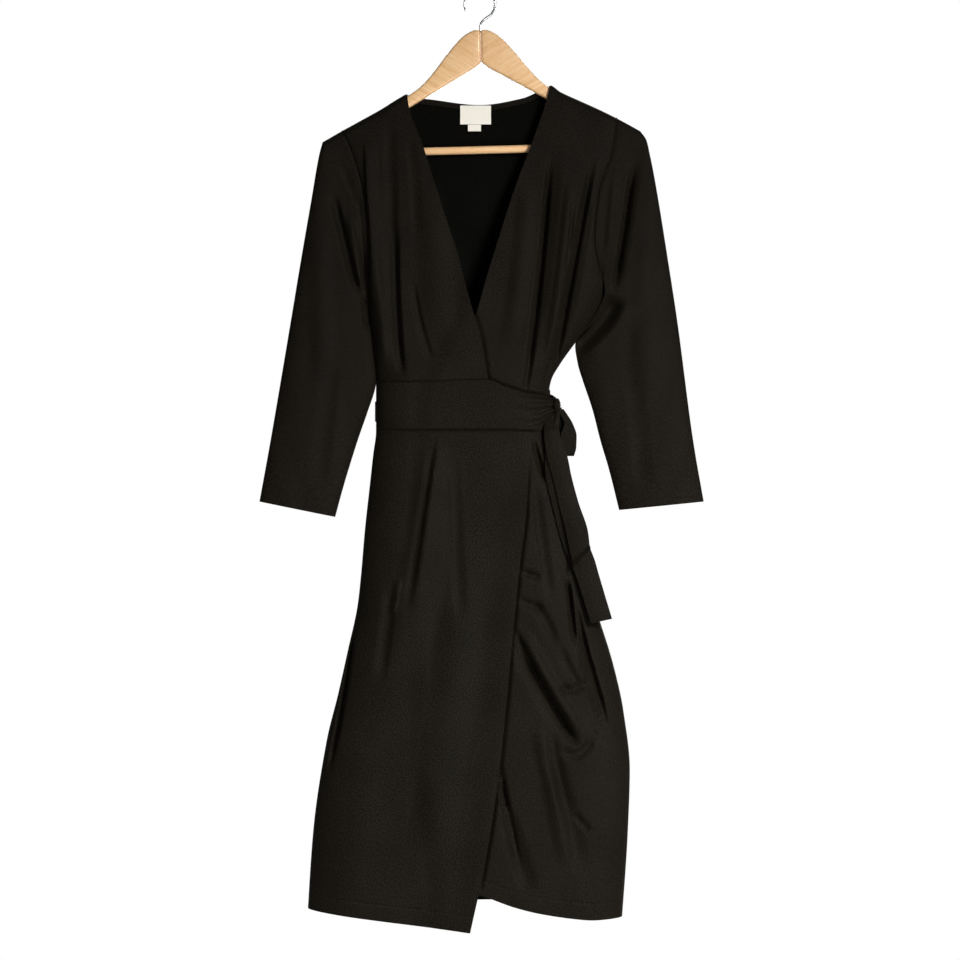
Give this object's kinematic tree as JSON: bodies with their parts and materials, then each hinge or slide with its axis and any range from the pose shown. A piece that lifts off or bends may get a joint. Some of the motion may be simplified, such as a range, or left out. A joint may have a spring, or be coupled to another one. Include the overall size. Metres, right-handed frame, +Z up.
{
  "type": "wrap dress on a hanger",
  "caption": "Long-sleeved V-neck jersey wrap dress tied at the side, hanging on a wooden hanger with a wire hook.",
  "frame": {"origin": "under the top of the hanger's hook, where it rests on a rail", "axes": "+Z up, -Y the way the front of the dress faces, +X to the right as the front is seen"},
  "size_m": [0.5775, 0.0876, 1.2234],
  "materials": {
    "jersey": "matte fine knit with a faint sheen",
    "label": "woven satin",
    "wood": "clear satin lacquer",
    "steel": "polished"
  },
  "bodies": {
    "root": {"bodice_front_upper": "jersey", "bodice_front_lower": "jersey", "bodice_back": "jersey", "back_neck_binding": "jersey", "neck_label": "label", "size_tab": "label", "sleeve_left": "jersey", "sleeve_right": "jersey", "waistband_upper": "jersey", "waistband_lower": "jersey", "waistband_back": "jersey", "skirt_front_upper": "jersey", "skirt_front_lower": "jersey", "skirt_back": "jersey", "tie_tail_short": "jersey", "tie_tail_long": "jersey", "tie_loop": "jersey", "tie_knot": "jersey", "tie_sash": "jersey", "hanger_arm_left": "wood", "hanger_arm_right": "wood", "hanger_bar": "wood", "hanger_hook": "steel"}
  },
  "joints": []
}
